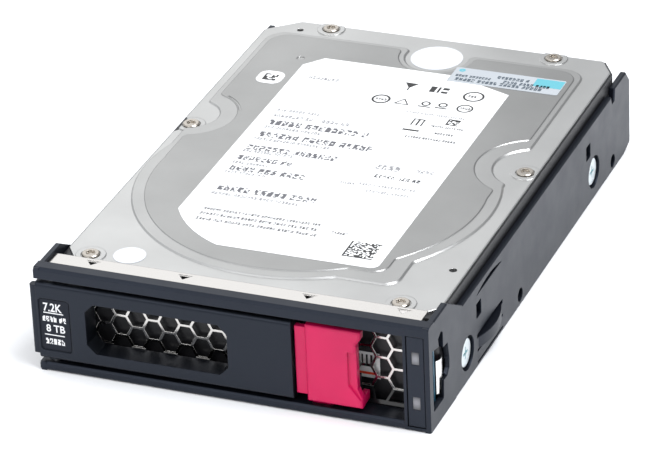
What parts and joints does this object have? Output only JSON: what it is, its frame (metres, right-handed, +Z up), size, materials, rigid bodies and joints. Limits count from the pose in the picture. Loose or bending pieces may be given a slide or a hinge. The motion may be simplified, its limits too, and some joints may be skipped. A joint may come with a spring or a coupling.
{
  "type": "hard disk drive",
  "caption": "Hard disk drive with a metal top cover, screwed into a flat hot-plug carrier with a swing-out ejector lever, a sliding release latch and a honeycomb vent.",
  "frame": {"origin": "on the drive's centre line, in the plane of the drive's front end, on the resting plane under the carrier", "axes": "+X to the right seen from the front, +Y from the front bezel to the connector end, +Z up through the top cover"},
  "size_m": [0.1087, 0.1607, 0.0295],
  "materials": {
    "carrier_plastic": "satin moulded plastic, fine texture",
    "lever_plastic": "satin moulded plastic",
    "latch_plastic": "satin moulded plastic, magenta",
    "stainless": "rolled stainless sheet, lightly brushed",
    "led_panel_plastic": "satin dark plastic",
    "light_pipe": "frosted translucent plastic",
    "led_white": "small moulded lamp body",
    "teal_screw": "thread-lock teal coating",
    "label_black": "printed film",
    "spring_steel": "drawn wire",
    "black_casting": "black coated casting",
    "cover_metal": "satin sheet, fine rolled grain",
    "gasket_rubber": "moulded in place",
    "nickel_screw": "nickel plated",
    "label_paper": "white printed label",
    "steel": "ground steel",
    "hub_aluminium": "machined",
    "magnet_nickel": "nickel plated magnet",
    "core_steel": "laminated steel",
    "copper_wire": "enamelled copper winding",
    "disc_mirror": "polished disc",
    "arm_aluminium": "machined",
    "slider_ceramic": "sintered ceramic",
    "stop_rubber": "soft rubber",
    "inner_plastic": "natural moulded plastic",
    "flex_film": "polyimide film",
    "filter_cloth": "non-woven filter",
    "pcb_green": "solder mask",
    "chip_black": "moulded package",
    "foam_grey": "closed-cell foam",
    "connector_black": "moulded connector",
    "gold_contact": "gold flash"
  },
  "bodies": {
    "carrier": {"carrier_frame": "carrier_plastic", "emi_shield": "stainless", "grounding_fingers": "stainless", "led_panel": "led_panel_plastic", "light_pipes": "light_pipe", "indicator_board": "pcb_green", "indicator_leds": "led_white", "carrier_screws": "teal_screw", "lever_pivot_pin": "spring_steel", "lever_spring": "spring_steel", "latch_spring": "spring_steel", "base_casting": "black_casting", "top_cover": "cover_metal", "cover_gasket": "gasket_rubber", "cover_screws": "nickel_screw", "shaft_screws": "nickel_screw", "main_label": "label_paper", "seal_dots": "label_paper", "data_sticker": "label_paper", "serial_strip_label": "label_paper", "front_label": "label_paper", "spindle_shaft": "steel", "stator_core": "core_steel", "stator_coils": "copper_wire", "pivot_shaft": "steel", "lower_yoke": "magnet_nickel", "upper_yoke": "magnet_nickel", "voice_coil_magnets": "magnet_nickel", "crash_stops": "stop_rubber", "flex_bracket": "inner_plastic", "flex_cable": "flex_film", "load_ramp": "inner_plastic", "recirculation_filter": "filter_cloth", "breather_filter": "filter_cloth", "pcb": "pcb_green", "pcb_screws": "nickel_screw", "controller_chip": "chip_black", "memory_chip": "chip_black", "motor_driver_chip": "chip_black", "pcb_foam_pad": "foam_grey", "connector_housing": "connector_black", "connector_contacts": "gold_contact"},
    "lever": {"ejector_lever": "lever_plastic", "lever_label": "label_black"},
    "latch": {"release_latch": "latch_plastic"},
    "spindle": {"spindle_bearing": "steel", "spindle_hub": "hub_aluminium", "rotor_magnet": "magnet_nickel", "platters": "disc_mirror", "platter_spacers": "hub_aluminium", "disc_clamp": "hub_aluminium", "clamp_screws": "nickel_screw"},
    "actuator": {"actuator_carriage": "arm_aluminium", "voice_coil": "copper_wire", "head_suspensions": "stainless", "head_sliders": "slider_ceramic", "pivot_bearing": "steel"}
  },
  "joints": [
    {"name": "lever_hinge", "type": "hinge", "parent": "carrier", "child": "lever", "pos_m": [-0.049, -0.0076, 0.0143], "axis": [0, 0, -1], "range_deg": [0, 58], "deforming": ["lever_spring"]},
    {"name": "latch_slide", "type": "slide", "parent": "carrier", "child": "latch", "axis": [1, 0, 0], "range_m": [0, 0.004], "stiffness_N_per_m": 300, "deforming": ["latch_spring"]},
    {"name": "spindle_spin", "type": "hinge", "parent": "carrier", "child": "spindle", "pos_m": [0, 0.0503, 0.015], "axis": [0, 0, 1], "continuous": true},
    {"name": "actuator_swing", "type": "hinge", "parent": "carrier", "child": "actuator", "pos_m": [-0.008, 0.1075, 0.015], "axis": [0, 0, -1], "range_deg": [0, 34], "deforming": ["flex_cable"]}
  ]
}
